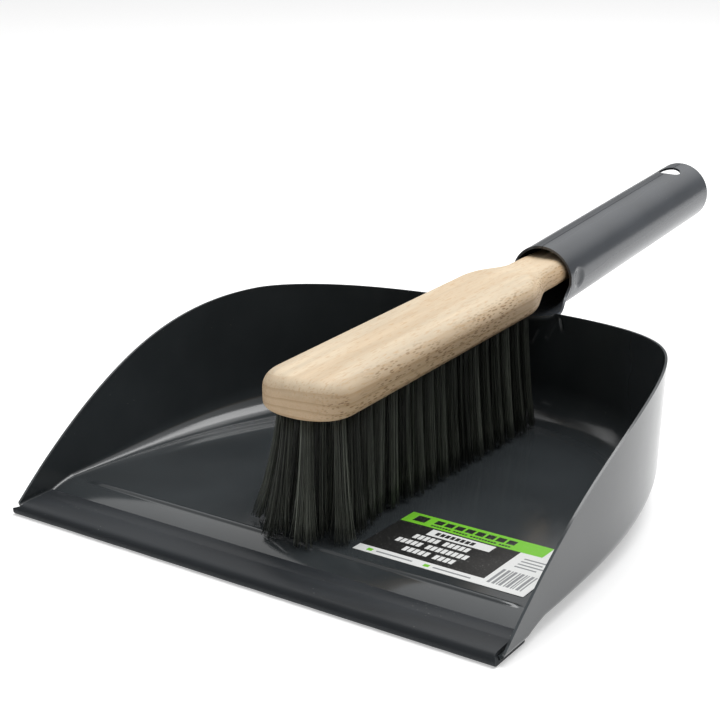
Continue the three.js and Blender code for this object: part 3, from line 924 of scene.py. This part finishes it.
def block_ring(point, normal):
    """Cross section of the block through an outline point, right side then left side."""
    x, y = point
    right = []
    for inset, z in edge_profile(float(smooth((y - 167) / 24))):
        right.append((max(0, x - normal[0] * inset), y - normal[1] * inset, z))
    low, high = right[0], right[-1]
    flat_low = [(low[0] * share, low[1], low[2]) for share in np.linspace(0, 1, 7)[:-1]]
    flat_top = [(high[0] * share, high[1], high[2]) for share in np.linspace(1, 0, 7)[1:]]
    half = flat_low + right + flat_top
    return half + [(-px, py, pz) for px, py, pz in half[-2:0:-1]]


def on_brush(points):
    """From the flat block to where the brush lies in the pan."""
    x, y, z = np.asarray(points, float).T
    c, s = math.cos(BLOCK_TILT), math.sin(BLOCK_TILT)
    return np.stack([x, BLOCK_NOSE_Y + c * y - s * z, BLOCK_NOSE_Z + s * y + c * z], 1)


def make_block():
    """The block, skinned over cross sections that stand square to its outline."""
    outline = block_outline()
    ahead = np.vstack([outline[1:], outline[-1:]])
    behind = np.vstack([outline[:1], outline[:-1]])
    step = ahead - behind
    normals = np.stack([step[:, 1], -step[:, 0]], 1)
    normals /= np.linalg.norm(normals, axis=1)[:, None]
    normals[0] = (0, -1)
    normals[-1] = (0, 1)
    rings = [block_ring(p, n) for p, n in zip(outline, normals)]
    closed = [[*ring, ring[0]] for ring in rings]
    points = on_brush([p for ring in closed for p in ring])
    faces = grid_faces(len(closed), len(closed[0]))
    make_piece("beech_block", points, faces, [BEECH], "brush", ["brush_block"])


make_block()

# ---------- bristles ----------


def rank_xs(rank):
    """Places of the tufts abreast; the rank in the round of the nose has two."""
    xs = [(i - (TUFTS - 1) / 2) * TUFT_PITCH for i in range(TUFTS)]
    return xs if rank else xs[1:-1]


def spread(middle, ring, angle, splay):
    """A place in the tuft's tip, ring 0 to 1 out from its middle."""
    return (
        middle[0] + TIP_SPREAD[0] * splay * ring * math.cos(angle),
        middle[1] + TIP_SPREAD[1] * splay * ring * math.sin(angle),
    )


def make_locks(middle, splay, rng):
    """The bunches at the tip of a tuft: x, y, how much shorter they are, and their tone."""
    lean = (rng.gauss(0, 0.6), rng.gauss(0, 0.8))
    centre = (middle[0] + lean[0], middle[1] + lean[1])
    tuft_tone = rng.gauss(0, 0.07)
    locks = []
    for k in range(LOCKS):
        ring = math.sqrt((k + 0.5) / LOCKS) * rng.uniform(0.8, 1.15)
        angle = k * GOLDEN_ANGLE + rng.uniform(-0.3, 0.3)
        place = spread(centre, ring, angle, splay)
        locks.append((*place, abs(rng.gauss(0, 0.5)), tuft_tone + rng.gauss(0, 0.12)))
    return locks


def filament_line(root, start, tip, end, rng):
    """A line from start to end that leans with its tuft first and fans out from it later."""
    t = np.linspace(0, 1, STEPS)[:, None]
    bow = np.array([rng.gauss(0, 0.15), rng.gauss(0, 0.15), 0])
    lean_part = np.array([tip[0] - root[0], tip[1] - root[1], 0])
    fan_part = np.array([end[0] - start[0], end[1] - start[1], 0]) - lean_part
    line = start + lean_part * t ** 1.3 + fan_part * t ** 2.4 + bow * np.sin(math.pi * t)
    line[:, 2] = lerp(start[2], end[2], t[:, 0])
    return line


def filament_lines(x, rank_y, along, rng):
    """Centre lines of one tuft's filaments, with a tone for each."""
    front = float(1 - smooth(along * 4))
    root = on_brush([(x, rank_y, 0.6)])[0]
    tip = (x * lerp(*TIP_FAN, front) + lerp(*TIP_ASIDE, along), root[1] + lerp(*TIP_BACK, along))
    splay = lerp(*TIP_SPLAY, front)
    locks = make_locks(tip, splay, rng)
    lines = []
    for i in range(FILAMENTS):
        ring = math.sqrt((i + 0.5) / FILAMENTS)
        angle = i * GOLDEN_ANGLE + rng.uniform(-0.25, 0.25)
        start = root + np.array([ROOT_R * ring * math.cos(angle), ROOT_R * ring * math.sin(angle), 0])
        own = spread(tip, ring, angle, splay)
        lock = min(locks, key=lambda spot: math.dist(spot[:2], own))
        hold = rng.uniform(0.1, 0.75)
        end_x = lerp(own[0], lock[0], hold) + rng.gauss(0, 0.25)
        end_y = lerp(own[1], lock[1], hold) + rng.gauss(0, 0.25)
        trim = abs(rng.gauss(0, 1.1)) + lock[2]
        end = (end_x, end_y, floor_lift(end_x, end_y) + SHEET + TIP_GAP + trim)
        line = filament_line(root, start, tip, end, rng)
        tone = rng.gauss(0.42, 0.2) + lock[3] - 0.05 * front
        lines.append((line, min(1.0, max(0.0, tone))))
    return lines


def filament_rod(line, turn, start):
    """Points and faces of a thin three-sided rod; start is the number of its first point."""
    points = []
    faces = [[start, start + 2, start + 1]]
    for k, centre in enumerate(line):
        radius = FILAMENT_R * lerp(1, 0.7, k / (STEPS - 1))
        for corner in range(3):
            angle = turn + corner * 2 * math.pi / 3
            aside = np.array([math.cos(angle), math.sin(angle), 0])
            points.append(centre + radius * aside)
    for k in range(STEPS - 1):
        for corner in range(3):
            a = start + 3 * k + corner
            b = start + 3 * k + (corner + 1) % 3
            faces.append([a, b, b + 3, a + 3])
    end = start + 3 * (STEPS - 1)
    faces.append([end, end + 1, end + 2])
    return points, faces


def make_rank(index):
    """The tufts abreast in one rank; painted shade makes each filament darker at its root."""
    along = index / (RANKS - 1)
    rank_y = lerp(FIRST_RANK, LAST_RANK, along)
    rng = random.Random(100 + index)
    points = []
    faces = []
    tones = []
    for x in rank_xs(index):
        for line, tone in filament_lines(x, rank_y, along, rng):
            rod_points, rod_faces = filament_rod(line, rng.uniform(0, math.pi), len(points))
            points += rod_points
            faces += rod_faces
            # Painted shade: the tone falls to 0.55 at the root, under the block.
            tones += [tone * shade for shade in np.linspace(0.55, 1.0, STEPS) for _ in range(3)]
    number = f"{index + 1:02d}"
    mesh = new_mesh(f"tufts_{number}", points, faces, [BRISTLE])
    mesh.attributes.new("tone", "FLOAT", "POINT").data.foreach_set("value", tones)
    place_mesh(mesh, True, "brush", [f"bristle_rank_{number}"])


for rank_index in range(RANKS):
    make_rank(rank_index)

# ---------- floor and light ----------


def make_floor():
    """A pale matt floor that glows faintly, so that it stays near white under soft light."""
    size = 60
    corners = [(-size, -size, 0), (size, -size, 0), (size, size, 0), (-size, size, 0)]
    mesh = bpy.data.meshes.new("floor")
    mesh.from_pydata(corners, [], [[0, 1, 2, 3]])
    s = Shader("floor", roughness=0.9, specular=0.1)
    s.finish(s.blend(s.noise(3, 2), (0.79, 0.79, 0.79), (0.81, 0.81, 0.81)))
    s.surface.inputs["Emission Color"].default_value = (1, 1, 1, 1)
    s.surface.inputs["Emission Strength"].default_value = 0.4
    mesh.materials.append(s.material)
    floor = bpy.data.objects.new("floor", mesh)
    floor.location.z = -0.0002
    bpy.context.collection.objects.link(floor)


def make_world():
    """White from behind and above, dimmer near the horizon and towards the camera."""
    world = bpy.data.worlds.new("studio")
    world.use_nodes = True
    bpy.context.scene.world = world
    n = Nodes(world.node_tree, "Generated")
    dot = n.add("ShaderNodeVectorMath", operation="DOT_PRODUCT")
    n.put(dot.inputs[0], n.place)
    dot.inputs[1].default_value = (0.3, -0.9, 0.3)
    behind = n.span(dot.outputs["Value"], -0.3, 0.35, 1.2, 0.33)
    above = n.span(n.split(n.place)["Z"], 0.3, 0.55, 0.25, 1.0)
    background = world.node_tree.nodes["Background"]
    n.put(background.inputs["Strength"], n.math("MULTIPLY", behind, above))
    background.inputs["Color"].default_value = (1, 1, 1, 1)


def add_softbox(name, place, target, size, power):
    """A square area light that faces its target."""
    data = bpy.data.lights.new(name, "AREA")
    data.shape = "SQUARE"
    data.size = size
    data.energy = power
    lamp = bpy.data.objects.new(name, data)
    lamp.location = place
    lamp.rotation_mode = "QUATERNION"
    lamp.rotation_quaternion = (Vector(target) - Vector(place)).to_track_quat("-Z", "Y")
    bpy.context.collection.objects.link(lamp)


make_floor()
make_world()
add_softbox("overhead", (0.1, 0.45, 1.5), (0, 0, 0), 1.2, 21)
bpy.context.scene.view_settings.view_transform = "Standard"
